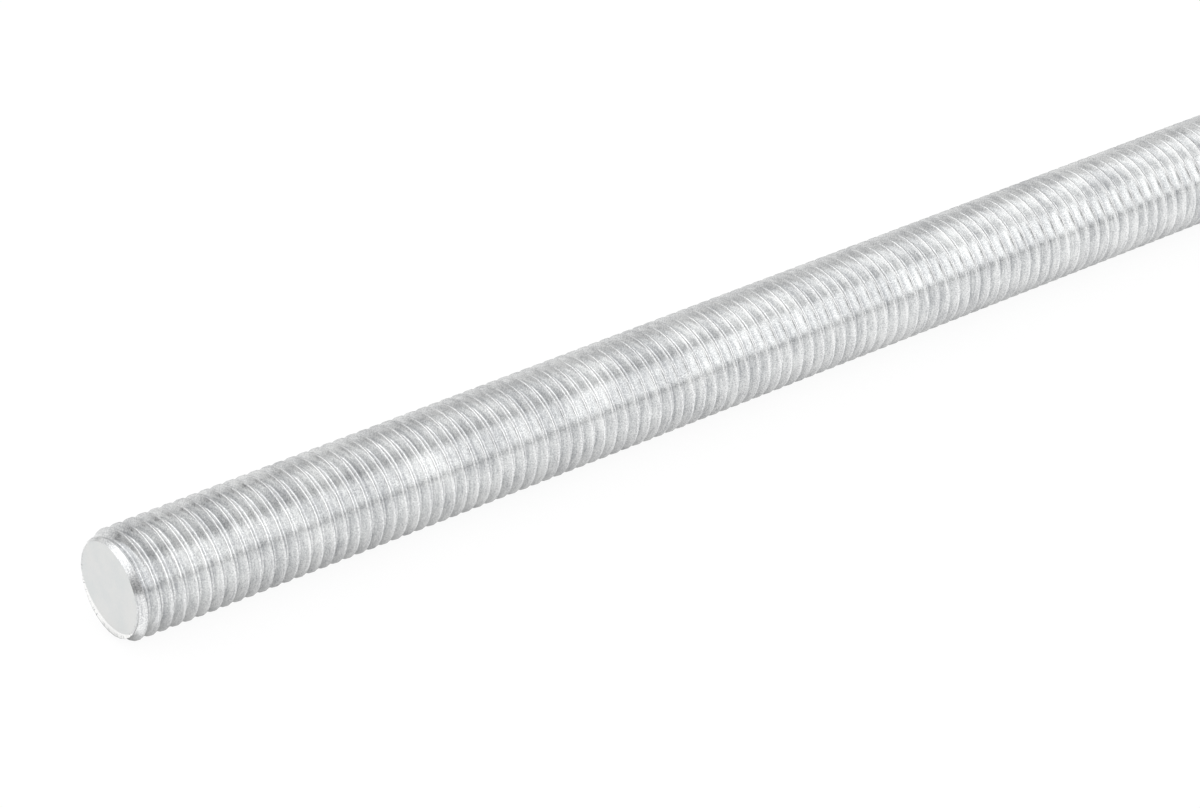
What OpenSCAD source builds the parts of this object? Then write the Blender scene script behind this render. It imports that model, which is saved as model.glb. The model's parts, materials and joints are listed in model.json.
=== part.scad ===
// Fully threaded steel rod, one solid piece with a chamfer at each end.
// The rod lies along X, and its middle is the origin. Its start is at -X and its end at +X.
// The solid is as thick as the rod is over its thread crests, so that holes, clamps and
// sleeves meet it at its true size. The fine helix of the thread is not cut here.

/* [Rod] */
// Length of the rod from end face to end face
rod_length = 1000; // [100:1:3000]
// Diameter over the thread crests
crest_d = 15.8; // [10:0.1:48]

/* [Start] */
// How far the chamfer at the start goes in from the crests, along the radius
start_chamfer_depth = 1; // [0.1:0.05:4]
// How far the chamfer at the start runs along the rod
start_chamfer_length = 1.2; // [0.2:0.05:10]

/* [End] */
// How far the chamfer at the end goes in from the crests, along the radius
end_chamfer_depth = 1; // [0.1:0.05:4]
// How far the chamfer at the end runs along the rod
end_chamfer_length = 1.2; // [0.2:0.05:10]

/* [Hidden] */
$fn = 96;
crest_r = crest_d / 2;
start_x = -rod_length / 2;
end_x = rod_length / 2;

// Half of the rod's section along its axis, as [radius, place along the rod],
// for turning about the axis.
function half_section() = [
    [0, start_x],
    [crest_r - start_chamfer_depth, start_x],
    [crest_r, start_x + start_chamfer_length],
    [crest_r, end_x - end_chamfer_length],
    [crest_r - end_chamfer_depth, end_x],
    [0, end_x]
];

// The whole rod: its half section turned about Z, then laid along X.
module threaded_rod() {
    color("lightgray")
        rotate([0, 90, 0])
            rotate_extrude()
                polygon(half_section());
}

threaded_rod();
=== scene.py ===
"""A length of zinc-plated steel rod, threaded from end to end, on a pale studio floor.

The thread is one closed mesh. A ribbon carries the rolled section of one pitch round the rod,
helix fashion, and each end is closed by a sawn face. It stands for the plain CAD cylinder that
its crests lie on. Lengths are in metres, and the rod lies along X, as in the CAD frame. Angles
on the rod count from its top and grow clockwise, seen from the start.
"""
import json
import math
from collections import namedtuple

import bpy
import numpy as np
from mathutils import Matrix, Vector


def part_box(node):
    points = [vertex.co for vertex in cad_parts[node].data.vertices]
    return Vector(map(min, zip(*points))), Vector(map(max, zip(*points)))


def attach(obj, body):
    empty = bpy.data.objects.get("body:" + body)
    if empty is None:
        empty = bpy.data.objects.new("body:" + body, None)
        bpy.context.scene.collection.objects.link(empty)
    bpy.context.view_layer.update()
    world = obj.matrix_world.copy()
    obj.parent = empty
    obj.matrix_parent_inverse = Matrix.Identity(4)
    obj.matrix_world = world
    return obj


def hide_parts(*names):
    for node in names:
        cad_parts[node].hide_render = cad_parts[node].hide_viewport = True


MM = 0.001
TURN = 2 * math.pi
NODE = "threaded_rod"

# Rolled thread: (place across one pitch, depth below the crest circle in mm, kept where plain).
PITCH = 2 * MM
SECTION = (
    (-0.085, 1.170, True),  # rounded root
    (0.000, 1.227, False),
    (0.049, 1.210, False),
    (0.093, 1.160, True),
    (0.125, 1.083, False),  # foot of the flank that looks to the start
    (0.398, 0.138, False),  # top of that flank
    (0.422, 0.060, False),  # its rounded shoulder
    (0.440, 0.018, True),
    (0.460, 0.000, False),  # the crest, with a faint seam along it
    (0.505, 0.010, False),
    (0.545, 0.000, False),
    (0.562, 0.018, True),
    (0.602, 0.138, False),  # top of the flank that looks to the end
    (0.875, 1.083, False),  # foot of that flank
)
# How fast the radius rises along the rod at the two sides of a plain face: those on the root,
# the first flank, the crest and the second flank.
PLAIN_SLOPES = np.array(((-0.9, 0.9), (1.65, 1.65), (0.4, -0.4), (-1.63, -1.63)))
LIP_COLUMNS = slice(5, 13)  # the points that rolling leaves a little uneven
LIP_SEED = 16
LIP_WOBBLE = (0.0025, 0.004)  # a usual stray, in pitches across and in mm of depth
LIP_LIMIT = 1.5             # the longest stray, in usual ones, so that no points cross
STEPS = 32                  # rows in one turn
FINE_TURNS = 100            # turns at the start that have every point of the section
FINE_TAIL = 5               # the same at the end
THREAD_TURN = 0.265         # turns by which the whole thread is turned about the rod

# Lead-in: the crests are cut by a cone set a little off centre, and the first turns are low.
CHAMFER_DEPTH = 1.0 * MM
CHAMFER_LENGTH = 1.2 * MM
LEAD_IN_DEPTH = 0.12 * MM
LEAD_IN_LENGTH = 2.5 * MM
BURR_DEPTH = 0.72 * MM      # a burr from the saw closes the groove at an end face
BURR_SLOPE = 1.2            # depth that the burr gains per length, going in

# Sawn faces: rings of points at shares of the edge's radius, and the marks on them.
CAP_SHARES = (0.985, 0.965, 0.945, 0.92, 0.88, 0.7, 0.35)
HIGHLIGHT_CIRCLE = 7.45 * MM  # a painted highlight lies on a face outside this circle, which is set off
HIGHLIGHT_OFFSET = 1.5 * MM
HIGHLIGHT_ANGLE = 197.0       # degrees about the rod at which the painted highlight crescent is widest
DARK_EDGE = (7.02 * MM, 7.08 * MM)  # radii over which the crescent's line of painted shade comes in
NICKED_EDGE = (6.5 * MM, 6.7 * MM)  # the same for the nicks

# Plating: its colours, and how much of it is metal.
METALLIC = 0.9
DULL_ROLLED, BRIGHT_ROLLED = (0.55, 0.56, 0.575), (0.99, 0.997, 0.992)
DULL_SAWN, BRIGHT_SAWN = (0.76, 0.78, 0.78), (0.84, 0.84, 0.83)
# painted highlight: the crescent's near-white colour, standing in for the chamfered rim catching the
# light
PAINTED_HIGHLIGHT = (1.0, 1.0, 0.99)
# dark grey for the nicks, which are real marks, and for the line of painted shade along the crescent
NICKS_AND_PAINTED_SHADE = (0.36, 0.37, 0.38)

# Floor: how strongly it shines to the camera and in the rod's own metal.
FLOOR_HALF = 6.0            # half its width
FLOOR_TO_CAMERA = 1.03
FLOOR_TO_METAL = 1.08
FLOOR_GLOW = (0.9, 0.95)    # share of it that shines so, for each; the rest is plain matt
FLOOR_MATT = (0.9, 0.9, 0.9, 1)
CONTACT_FADE = 6.8 * MM     # how the painted shadow that metal sees in it pales away from the rod
PAST_END = 10               # how many times a distance past the rod's ends counts

# Studio: the level that metal sees where nothing hangs, and what the wide light overhead adds.
ROOM_LEVEL = 0.57
OVERHEAD_LIGHT = 0.85
OVERHEAD_LEAN = 110         # degrees by which its back edge comes forward as x goes to 1

# Camera, from the middle of the rod's start face.
LENS_MM = 141.45
CAMERA_PLACE = (-270.83 * MM, -459.12 * MM, 334.73 * MM)
CAMERA_PITCH = -30.080
CAMERA_YAW = 52.445

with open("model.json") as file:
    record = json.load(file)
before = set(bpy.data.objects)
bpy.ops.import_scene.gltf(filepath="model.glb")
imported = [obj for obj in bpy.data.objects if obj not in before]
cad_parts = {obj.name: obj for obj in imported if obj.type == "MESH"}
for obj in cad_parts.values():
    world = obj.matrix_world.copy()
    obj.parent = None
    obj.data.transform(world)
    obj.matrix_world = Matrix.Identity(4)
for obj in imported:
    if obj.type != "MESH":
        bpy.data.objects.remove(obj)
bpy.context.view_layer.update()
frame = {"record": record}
thread_mount = next(m for m in frame["record"]["mounts"] if m["name"] == "thread")
crest_r = thread_mount["dims"]["r_mm"] * MM
start_x, end_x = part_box(NODE)[0].x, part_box(NODE)[1].x
floor_z = -crest_r

ACROSS = np.array([point[0] for point in SECTION])
DEPTH = np.array([point[1] for point in SECTION]) * MM
PLAIN = np.array([point[2] for point in SECTION])
COLUMNS = len(SECTION)
FACE_RIM = crest_r - CHAMFER_DEPTH
# An end has its number, its place and the way into the rod along X, how far and at which angle
# its cone is set off, and the tilt of its face and the angle where that face stands proud.
End = namedtuple("End", "mark plane way_in off_centre off_angle tilt proud")
ENDS = (
    End(1, start_x, 1, 0.30 * MM, 19.0, 0.0, 20.0),
    End(2, end_x, -1, 0.15 * MM, 250.0, 1.0, 140.0),
)


# ---------------------------------------------------------------- the rod's mesh

def section_radius(turn):
    """Radius at a place given in pitches past a root: straight lines between section points."""
    place = (turn - ACROSS[0]) % 1 + ACROSS[0]
    return crest_r - np.interp(place, np.append(ACROSS, ACROSS[0] + 1), np.append(DEPTH, DEPTH[0]))


def lead_in(end, inside, angle, radius):
    """A cone with a shallow run-in behind it: radius at most crest - depth + inside * slope, where
    the depth is greater by off_centre * cos(a - off_angle); and less a small depth that dies away
    as exp(-inside / length). A burr fills the groove at the face: crest - depth - slope * inside."""
    depth = CHAMFER_DEPTH + end.off_centre * np.cos(angle - math.radians(end.off_angle))
    cone = crest_r - depth + inside * CHAMFER_DEPTH / CHAMFER_LENGTH
    low = LEAD_IN_DEPTH * np.exp(-inside / LEAD_IN_LENGTH)
    burr = crest_r - BURR_DEPTH - BURR_SLOPE * inside
    return np.minimum(np.maximum(radius - low, burr), cone)


def face_inset(end, angle, radius):
    """How far a sawn face lies inside its end plane: tan(tilt) (rim - r cos(a - proud))."""
    slope = FACE_RIM - radius * np.cos(angle - math.radians(end.proud))
    return math.tan(math.radians(end.tilt)) * np.maximum(slope, 0)


def uneven_lips(rows):
    """Random strays across and in depth for each row and column: smoothed along the thread with
    weights 1, 2, 1, held within a limit, and nought except at the lips."""
    rng = np.random.default_rng(LIP_SEED)
    stray = rng.normal(size=(2, rows + 2, COLUMNS))
    stray = (stray[:, :-2] + 2 * stray[:, 1:-1] + stray[:, 2:]) / math.sqrt(6)
    stray = np.clip(stray, -LIP_LIMIT, LIP_LIMIT)
    kept = np.zeros(COLUMNS)
    kept[LIP_COLUMNS] = 1
    return stray[0] * kept * LIP_WOBBLE[0], np.abs(stray[1]) * kept * LIP_WOBBLE[1] * MM


def thread_points():
    """Row i, column k lies at turn t = i / STEPS and across a_k:
    x = start + pitch (t - 1 + a_k), angle = 2 pi (t + THREAD_TURN), radius = crest - depth_k.
    A point past an end comes back to the end face, with the radius that the thread has there."""
    # rows enough for column 0 to pass the far end, and a turn more that closes the last column
    turns = (end_x - start_x) / PITCH + 2 - ACROSS[0]
    rows = math.ceil(turns * STEPS) + 1
    turn = (np.arange(rows) / STEPS)[:, None]
    stray, sunk = uneven_lips(rows)
    x = start_x + PITCH * (turn - 1 + ACROSS[None, :] + stray)
    radius = crest_r - DEPTH[None, :] - sunk
    angle = np.broadcast_to(TURN * (turn + THREAD_TURN), x.shape)
    at_end = np.zeros(x.shape, int)
    for end in ENDS:
        face_x = end.plane + end.way_in * face_inset(end, angle, FACE_RIM)
        past = (x - face_x) * end.way_in <= 0
        there = section_radius((face_x - start_x) / PITCH + 1 - turn)
        radius = np.where(past, there, radius)
        inside = (np.where(past, face_x, x) - end.plane) * end.way_in
        radius = lead_in(end, inside, angle, radius)
        x = np.where(past, end.plane + end.way_in * face_inset(end, angle, radius), x)
        at_end = np.where(past, end.mark, at_end)
    # a right-hand thread goes away as it turns clockwise, seen from the start
    place = np.stack([x, -radius * np.sin(angle), radius * np.cos(angle)], axis=-1)
    return place, at_end, turn[:, 0]


def welded_numbers(at_end):
    """Point numbers by row and column, where the points on each end face become one ring that has
    a point for each step of the turn. The last column is column 0 of the row one turn on."""
    rows = len(at_end)
    number = np.arange(rows * COLUMNS).reshape(rows, COLUMNS)
    rings = []
    for end in ENDS:
        row, column = np.nonzero(at_end == end.mark)
        ring = np.empty(STEPS, int)
        ring[row % STEPS] = number[row, column]
        number[row, column] = ring[row % STEPS]
        rings.append(ring)
    return np.hstack([number[:-STEPS], number[STEPS:, :1]]), rings


def grid_faces(number, turn, across):
    """Quads between each row and the next, and the map places (turn, across) of their corners."""
    places = np.stack(np.meshgrid(turn, across, indexing="ij"), axis=-1)
    made = []
    for layer in (number, places):
        four = (layer[:-1, :-1], layer[1:, :-1], layer[1:, 1:], layer[:-1, 1:])
        made.append(np.stack(four, axis=2).reshape(-1, 4, *layer.shape[2:]))
    return made


def thread_faces(number, turn):
    """Quads between row i and row i + 1, their map places and whether each is plain. Where the
    thread is plain some columns are left out, and many-sided faces join the two kinds of row."""
    last = len(number) - 1
    fine_end, tail = FINE_TURNS * STEPS, last - FINE_TAIL * STEPS
    across = np.append(ACROSS, ACROSS[0] + 1)
    every = np.arange(COLUMNS + 1)
    kept = np.append(np.nonzero(PLAIN)[0], COLUMNS)
    groups = []
    for low, high, columns in ((0, fine_end, every), (fine_end + 1, tail, kept),
                               (tail + 1, last, every)):
        rows = slice(low, high + 1)
        quads, quad_uv = grid_faces(number[rows, columns], turn[rows], across[columns])
        groups.append((quads, quad_uv, np.full(len(quads), columns is kept)))
    joins, join_uv = [], []
    for low, fine_first in ((fine_end, True), (tail, False)):
        for left, right in zip(kept[:-1], kept[1:]):
            run, two = list(range(left, right + 1)), [left, right]
            near, far = (run, two) if fine_first else (two, run)
            loop = [(low, k) for k in near[::-1]] + [(low + 1, k) for k in far]
            joins.append([int(number[r, k]) for r, k in loop])
            join_uv += [(turn[r], across[k]) for r, k in loop]
    return (*(np.concatenate(parts) for parts in zip(*groups)), joins, join_uv)


def without_folded(quads, uv, plain):
    """Sorts out the quads that an end face squeezed: those with one doubled corner become
    triangles, and those with fewer than three corners left are dropped."""
    doubled = quads == np.roll(quads, -1, axis=1)
    whole, three = doubled.sum(axis=1) == 0, doubled.sum(axis=1) == 1
    keep = ~doubled[three]
    return (quads[whole], uv[whole], plain[whole],
            quads[three][keep].reshape(-1, 3), uv[three][keep].reshape(-1, 3, 2))


def end_cap(place, ring, end):
    """Rings of points from the edge of an end face in to its middle, at shares of the edge. The
    points are added to the others, and the faces are quads and a fan at the middle."""
    plane, side = end.plane, end.way_in
    radius = np.array(CAP_SHARES)[:, None] * np.hypot(place[ring, 1], place[ring, 2])
    angle = np.arctan2(-place[ring, 1], place[ring, 2])[None, :]
    x = plane + side * face_inset(end, angle, radius)
    rings = np.stack([x, -radius * np.sin(angle), radius * np.cos(angle)], axis=-1)
    middle = np.array([[plane + side * face_inset(end, 0.0, 0.0), 0.0, 0.0]])
    base = len(place)
    inner = base + np.arange(rings.shape[0] * STEPS).reshape(-1, STEPS)
    loops = np.vstack([ring, inner])
    beside = np.roll(loops, side, axis=1)
    quads = np.stack([loops[:-1], beside[:-1], beside[1:], loops[1:]], axis=-1).reshape(-1, 4)
    hub = np.full(STEPS, base + inner.size)
    fan = np.stack([loops[-1], beside[-1], hub], axis=-1)
    return np.vstack([place, rings.reshape(-1, 3), middle]), quads, fan


def point_normals(place, quads, triangles):
    """At each point the sum of its faces' normals, each as long as the face is large, brought to
    a length of 1. A point that no face uses keeps a normal of nought."""
    tiny = 1e-30
    total = np.zeros_like(place)
    for faces, (a, b), (c, d) in ((quads, (0, 2), (1, 3)), (triangles, (0, 1), (0, 2))):
        normal = np.cross(place[faces[:, b]] - place[faces[:, a]],
                          place[faces[:, d]] - place[faces[:, c]])
        for column in faces.T:
            np.add.at(total, column, normal)
    return total / np.maximum(np.linalg.norm(total, axis=1, keepdims=True), tiny)


def plain_normals(corners):
    """Normals at the corners of the plain faces, which turn as the whole section's would: for a
    radius r that rises by s per length of a rod with pitch P, the normal has the parts
    -s along the rod, 1 outwards and s P / (2 pi r) round it."""
    sides = PLAIN_SLOPES[:, (0, 0, 1, 1)].ravel()
    slope = np.resize(sides, len(corners))[:, None]
    radius = np.hypot(corners[:, 1], corners[:, 2])[:, None]
    along = np.array([[1.0, 0.0, 0.0]])
    outward = corners * (0, 1, 1) / radius
    around = np.stack([0 * outward[:, 0], -outward[:, 2], outward[:, 1]], axis=-1)
    normal = -slope * along + outward + slope * PITCH / (TURN * radius) * around
    return normal / np.linalg.norm(normal, axis=1, keepdims=True)


def rod_surface():
    """The rod's points, the faces of its thread and of its ends, and a normal and a map place for
    each corner of them. On the ends the map places are y and z in crest radii."""
    place, at_end, turn = thread_points()
    number, rings = welded_numbers(at_end)
    quads, quad_uv, plain, joins, join_uv = thread_faces(number, turn)
    quads, quad_uv, plain, triangles, triangle_uv = without_folded(quads, quad_uv, plain)
    place = place.reshape(-1, 3)
    place, caps, fans = end_cap(place, rings[0], ENDS[0])
    place, caps_b, fans_b = end_cap(place, rings[1], ENDS[1])
    caps, fans = np.vstack([caps, caps_b]), np.vstack([fans, fans_b])
    side_corner = np.concatenate([quads.ravel(), triangles.ravel(), np.concatenate(joins)])
    cap_corner = np.concatenate([caps.ravel(), fans.ravel()])
    normals = np.vstack([point_normals(place, quads, triangles)[side_corner],
                         point_normals(place, caps, fans)[cap_corner]])
    normals[:quads.size][np.repeat(plain, 4)] = plain_normals(place[quads[plain].ravel()])
    uv = np.vstack([quad_uv.reshape(-1, 2), triangle_uv.reshape(-1, 2), np.array(join_uv),
                    place[cap_corner][:, 1:] / crest_r])
    used = np.unique(np.concatenate([side_corner, cap_corner]))
    renumber = np.empty(len(place), int)
    renumber[used] = np.arange(len(used))
    sides = renumber[quads].tolist() + renumber[triangles].tolist()
    sides += [renumber[face].tolist() for face in joins]
    ends = renumber[caps].tolist() + renumber[fans].tolist()
    return place[used], sides, ends, normals, uv


def build_rod():
    """The rod as one piece, with rolled plating on its thread and sawn plating on its ends."""
    place, sides, ends, normals, uv = rod_surface()
    mesh = bpy.data.meshes.new("threaded_rod_visual")
    mesh.from_pydata(place.tolist(), [], sides + ends)
    mesh.materials.append(rolled_zinc())
    mesh.materials.append(sawn_zinc())
    material = np.repeat((0, 1), (len(sides), len(ends)))
    mesh.polygons.foreach_set("material_index", material)
    mesh.polygons.foreach_set("use_smooth", np.ones(len(material), bool))
    mesh.uv_layers.new(name="Thread").data.foreach_set("uv", uv.astype(np.float32).ravel())
    mesh.update()
    mesh.normals_split_custom_set(normals.tolist())
    rod = bpy.data.objects.new("zinc_rod", mesh)
    bpy.context.collection.objects.link(rod)
    return rod


# ---------------------------------------------------------------- shader maths

class Socket:
    """An output socket with operators: each one adds a Math node to the same tree."""

    def __init__(self, tree, output=None):
        self.tree, self.output = tree, output

    def node(self, kind, settings=None, values=None, result=0):
        """Any node: settings first, then socket values or links, and one of its outputs."""
        made = self.tree.nodes.new(kind)
        for name, value in (settings or {}).items():
            setattr(made, name, value)
        for name, value in (values or {}).items():
            if isinstance(value, Socket):
                self.tree.links.new(value.output, made.inputs[name])
            else:
                made.inputs[name].default_value = value
        return Socket(self.tree, made.outputs[result] if made.outputs else None)

    def maths(self, operation, *others):
        """A Math node whose first value is this one."""
        values = dict(enumerate((self, *others)))
        return self.node("ShaderNodeMath", {"operation": operation}, values)

    def __add__(self, other):
        return self.maths("ADD", other)

    def __sub__(self, other):
        return self.maths("SUBTRACT", other)

    def __rsub__(self, other):
        return self.maths("MULTIPLY_ADD", -1.0, other)

    def __mul__(self, other):
        return self.maths("MULTIPLY", other)

    __radd__, __rmul__ = __add__, __mul__

    def rise(self, low, high):
        """0 below low, 1 above high, and a smooth rise between them."""
        return self.node("ShaderNodeMapRange", {"interpolation_type": "SMOOTHSTEP"},
                         {"Value": self, "From Min": low, "From Max": high})

    def fall(self, low, high):
        """1 below low, 0 above high, and a smooth fall between them."""
        return 1 - self.rise(low, high)

    def within(self, low, high, edge):
        """1 between low and high, 0 beyond them, and a smooth change across each edge."""
        return self.rise(low - edge, low + edge) * self.fall(high - edge, high + edge)

    def towards(self, direction, inner, outer):
        """1 where this direction lies within inner degrees of the given one, 0 beyond outer."""
        length = math.sqrt(sum(part * part for part in direction))
        unit = tuple(part / length for part in direction)
        near = self.node("ShaderNodeVectorMath", {"operation": "DOT_PRODUCT"},
                         {0: self, 1: unit}, 1)
        return near.rise(math.cos(math.radians(outer)), math.cos(math.radians(inner)))

    def part(self, axis):
        """One part of a vector: 0 for x, 1 for y, 2 for z."""
        return self.node("ShaderNodeSeparateXYZ", {}, {0: self}, axis)

    def noise(self, scale, detail, roughness):
        """Noise over a place, with scale as waves per unit length."""
        return self.node("ShaderNodeTexNoise", {}, {"Vector": self, "Scale": scale,
                                                    "Detail": detail, "Roughness": roughness})

    def line_noise(self, scale, detail):
        """Noise along one number."""
        return self.node("ShaderNodeTexNoise", {"noise_dimensions": "1D"},
                         {"W": self, "Scale": scale, "Detail": detail})

    def stretched(self, *scale):
        """A place with each part times its scale, which packs a pattern that much closer."""
        return self.node("ShaderNodeMapping", {}, {"Vector": self, "Scale": scale})

    def colour(self, low, high):
        """The colour between two, each three numbers or a socket, by this value."""
        ends = [end if isinstance(end, Socket) else (*end, 1) for end in (low, high)]
        return self.node("ShaderNodeMix", {"data_type": "RGBA"},
                         {0: self, 6: ends[0], 7: ends[1]}, 2)


def new_material(name):
    """An empty material, and a start for its nodes."""
    material = bpy.data.materials.new(name)
    material.use_nodes = True
    material.node_tree.nodes.clear()
    return material, Socket(material.node_tree)


def plate(tree, colour, roughness, height, strength, distance):
    """Ends a material as zinc plating, with a bump that is given by its height."""
    bump = tree.node("ShaderNodeBump", {}, {"Height": height, "Strength": strength,
                                            "Distance": distance})
    plating = tree.node("ShaderNodeBsdfPrincipled", {}, {
        "Base Color": colour, "Metallic": METALLIC, "Roughness": roughness, "Normal": bump})
    tree.node("ShaderNodeOutputMaterial", {}, {"Surface": plating})


def rolled_zinc():
    """Zinc plating on a rolled thread: streaks that run along the thread, fine speckle, and
    roots slightly darker, partly as duller plating and partly as painted shade in the groove."""
    material, tree = new_material("rolled_zinc")
    uv = tree.node("ShaderNodeUVMap", {"uv_map": "Thread"})
    place = tree.node("ShaderNodeTexCoord", result="Object")
    streaks = uv.stretched(12, 9, 1).noise(1.0, 3, 0.6)
    fine = uv.stretched(30, 26, 1).noise(1.0, 2, 0.6)
    speckle = place.noise(4800, 2, 0.7)
    patches = place.noise(160, 2, 0.5)
    across = uv.part(1)
    # painted shade: the roots are darkened a little, partly as duller plating and partly as the
    # groove's shade painted into the colour
    root = across.rise(0.70, 0.92) + across.fall(0.10, 0.28)
    tone = patches * 0.2 + streaks * 0.3 + speckle * 0.5 - 0.045 * root
    colour = tone.rise(0.33, 0.61).colour(DULL_ROLLED, BRIGHT_ROLLED)
    roughness = 0.12 + 0.05 * streaks.rise(0.3, 0.7) + 0.06 * speckle.rise(0.35, 0.65)
    height = streaks * 0.5 + fine * 0.3 + speckle * 0.3
    plate(tree, colour, roughness, height, strength=0.14, distance=0.05 * MM)
    return material


def sawn_zinc():
    """The same plating on a sawn end: paler, smooth and matt, with faint cloudy patches, short
    nicks across the edge, and a painted highlight: a bright crescent standing in for the chamfered
    rim catching the light, with a line of painted shade along its outer edge. The crescent lies
    outside an offset circle: r + offset * cos(angle - a0) > its radius."""
    material, tree = new_material("sawn_zinc")
    place = tree.node("ShaderNodeTexCoord", result="Object")
    y, z = place.part(1), place.part(2)
    radius = (y * y + z * z).maths("SQRT")
    turned = math.radians(HIGHLIGHT_ANGLE)
    aside = (y * -math.sin(turned) + z * math.cos(turned)).maths("DIVIDE", radius)
    reach = radius + aside * HIGHLIGHT_OFFSET - HIGHLIGHT_CIRCLE
    # painted highlight: a crescent coloured near white, with less roughness
    highlight_crescent = reach.rise(0.0, 0.05 * MM)
    # painted shade: a dark line along the crescent's outer edge
    painted_shade_line = highlight_crescent * radius.rise(*DARK_EDGE)
    clouds = place.noise(260, 3, 0.5)
    grain = place.noise(3000, 2, 0.6)
    nicks = (y.maths("ARCTAN2", z) * 14.0).line_noise(2.0, 3).rise(0.58, 0.66)
    nicks = nicks * radius.rise(*NICKED_EDGE)
    tone = clouds.rise(0.3, 0.7) * 0.7 + grain.rise(0.3, 0.7) * 0.3
    colour = tone.colour(DULL_SAWN, BRIGHT_SAWN)
    colour = highlight_crescent.colour(colour, PAINTED_HIGHLIGHT)
    colour = (nicks * 0.8 + painted_shade_line * 0.55).colour(colour, NICKS_AND_PAINTED_SHADE)
    roughness = 0.42 + 0.12 * clouds - 0.30 * highlight_crescent
    plate(tree, colour, roughness, grain, strength=0.25, distance=0.03 * MM)
    return material


# ---------------------------------------------------------------- floor, light and camera

def seen_by(tree):
    """1 for camera rays, and 1 for rays that leave a mirror or pass through glass."""
    camera, glossy, clear = (tree.node("ShaderNodeLightPath", result=name) for name in (
        "Is Camera Ray", "Is Glossy Ray", "Is Transmission Ray"))
    return camera, glossy + clear


def studio_floor():
    """A floor under the rod. The camera sees it nearly white, with a faint shadow. Metal sees it
    with a painted shadow, dark at the rod and pale beyond, as 1 - exp(-distance / fade) of the
    distance from the rod's line, with a little painted light along the rod, and painted shade far
    out in front and close behind."""
    mesh = bpy.data.meshes.new("floor")
    corners = [(x * FLOOR_HALF, y * FLOOR_HALF, floor_z)
               for x, y in ((-1, -1), (1, -1), (1, 1), (-1, 1))]
    mesh.from_pydata(corners, [], [(0, 1, 2, 3)])
    floor = bpy.data.objects.new("floor", mesh)
    bpy.context.collection.objects.link(floor)
    material, tree = new_material("pale_floor")
    camera, mirror = seen_by(tree)
    place = tree.node("ShaderNodeTexCoord", result="Object")
    along, beside = place.part(0), place.part(1)
    past = (start_x - along).maths("MAXIMUM", along - end_x).maths("MAXIMUM", 0.0) * PAST_END
    distance = (beside * beside + past * past).maths("SQRT")
    # painted shadow: the floor that metal sees darkens towards the rod
    painted_contact_shadow = (distance * (-1 / CONTACT_FADE)).maths("EXPONENT")
    lit = along.rise(start_x + 0.02, start_x + 0.15)
    in_front = (0 - beside).rise(0.08, 0.28)
    behind = beside.rise(0.025, 0.06)
    bright = FLOOR_TO_METAL
    # painted light and shade in the floor's glow for metal: more light along the rod, the contact
    # shadow, and shade far in front and close behind
    for patch, change in ((lit, 0.13), (painted_contact_shadow, -1.0), (in_front, -0.5), (behind, -0.3)):
        bright = bright * (1 + change * patch)
    reflected = bright.colour((0.0, 0.0, 0.0), (1.0, 1.0, 1.0))
    tint = mirror.colour((FLOOR_TO_CAMERA,) * 3, reflected)
    glow = camera * FLOOR_GLOW[0] + mirror * FLOOR_GLOW[1]
    emit = tree.node("ShaderNodeEmission", {}, {"Color": tint, "Strength": 1.0})
    matt = tree.node("ShaderNodeBsdfDiffuse", {}, {"Color": FLOOR_MATT})
    mixed = tree.node("ShaderNodeMixShader", {}, {0: glow, 1: matt, 2: emit})
    tree.node("ShaderNodeOutputMaterial", {}, {"Surface": mixed})
    mesh.materials.append(material)


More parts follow.
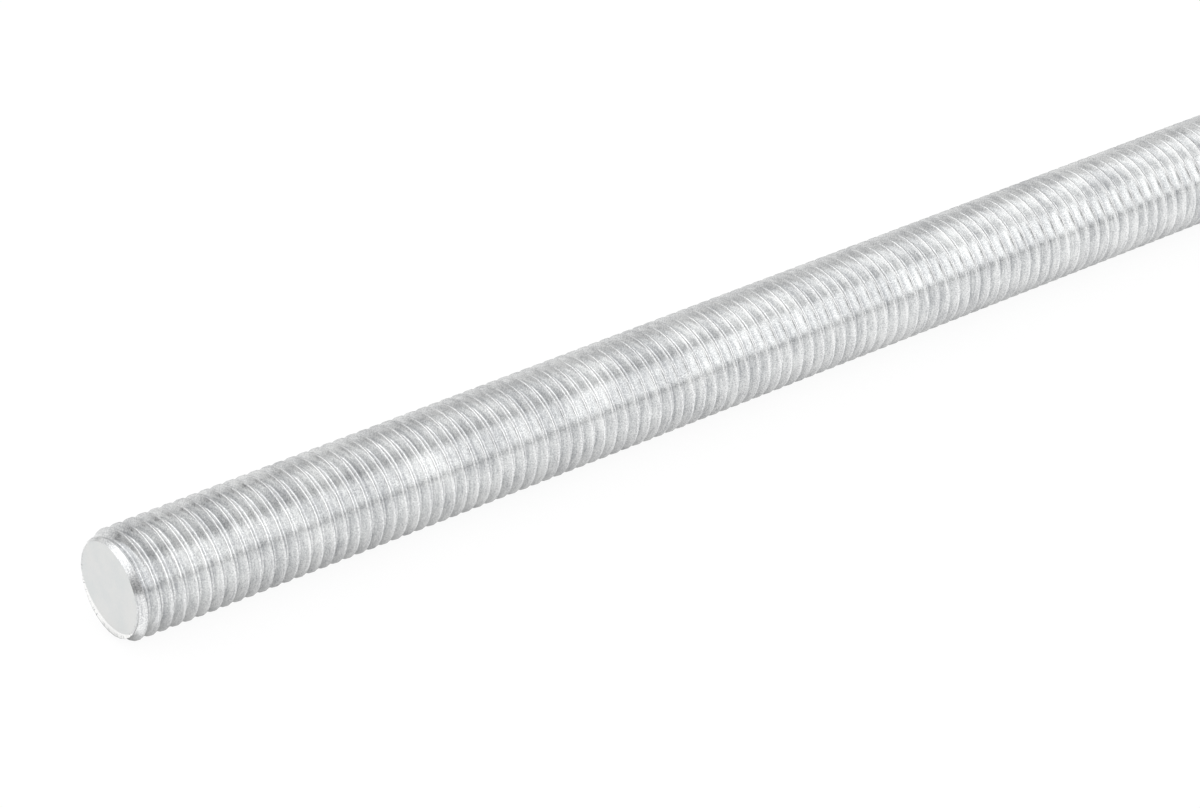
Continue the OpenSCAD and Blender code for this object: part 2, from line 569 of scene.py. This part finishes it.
def studio_world():
    """Plain white to the camera and to matt surfaces. Metal sees a studio by direction: x is the
    direction's part along the rod, and around its angle about the rod in degrees, 0 straight up
    and below 0 on the camera's side. A room with one wide light overhead has patches hung in it,
    each of which takes the light to its own strength: light + (strength - light) * patch. The
    softbox has a seam, which keeps part of the rod's side from being white on white."""
    world = bpy.data.worlds.new("studio")
    bpy.context.scene.world = world
    world.use_nodes = True
    world.node_tree.nodes.clear()
    tree = Socket(world.node_tree)
    way = tree.node("ShaderNodeTexCoord", result="Generated")
    x, y, z = (way.part(axis) for axis in range(3))
    around = y.maths("ARCTAN2", z) * (360 / TURN)
    lean = around + OVERHEAD_LEAN * x.maths("MAXIMUM", 0.0)
    overhead = x.fall(0.09, 0.41) * lean.fall(32, 64)
    light = ROOM_LEVEL + OVERHEAD_LIGHT * overhead
    pole = x.fall(-0.95, -0.72) * around.fall(30, 52)
    back_wall = x.within(-0.50, -0.29, 0.11) * around.rise(49, 63)
    dark_room = x.fall(-0.65, -0.22) * around.fall(-75, -5)
    far_dark = x.rise(0.76, 0.84)
    joint = x.within(0.01, 0.13, 0.06) * around.within(-27, 2, 7)
    softbox = x.within(0.28, 0.52, 0.03) * around.fall(-27, -17)
    seam = x.within(0.43, 0.49, 0.02) * around.fall(-27, -17)
    wing = x.within(0.55, 0.68, 0.03) * around.fall(-40, -25)
    flag = x.within(0.43, 0.58, 0.03) * around.within(-31, -6, 5)
    grey_card = x.fall(-0.95, -0.68) * around.rise(60, 74)
    black_card = way.towards((-0.70, 0.705, 0.11), 1, 4.5)
    horizon = x.rise(-0.1, 0.15) * around.fall(-70, -50) * z.fall(0.0, 0.28)
    for patch, strength in ((pole, 1.05), (back_wall, 0.8), (dark_room, 0.3), (far_dark, 0.1),
                            (joint, 0.6), (softbox, 1.8), (seam, 1.0), (wing, 0.8), (flag, 0.3),
                            (grey_card, 0.25), (black_card, 0.02), (horizon, 0.5)):
        light = light + (strength - light) * patch
    mirror = seen_by(tree)[1]
    background = tree.node("ShaderNodeBackground", {}, {"Color": (1, 1, 1, 1),
                                                        "Strength": 1 + (light - 1) * mirror})
    tree.node("ShaderNodeOutputWorld", {}, {"Surface": background})


def add_camera():
    """A long lens before the rod's start, off to the side of -Y and above, which looks down it."""
    data = bpy.data.cameras.new("camera")
    camera = bpy.data.objects.new("camera", data)
    bpy.context.collection.objects.link(camera)
    data.lens = LENS_MM
    camera.location = (start_x + CAMERA_PLACE[0], CAMERA_PLACE[1], CAMERA_PLACE[2])
    camera.rotation_euler = (math.radians(90 + CAMERA_PITCH), 0, math.radians(CAMERA_YAW - 90))
    bpy.context.scene.camera = camera


rod = build_rod()
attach(rod, "root")
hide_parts(NODE)
studio_floor()
studio_world()
add_camera()
bpy.context.scene.view_settings.view_transform = "Standard"
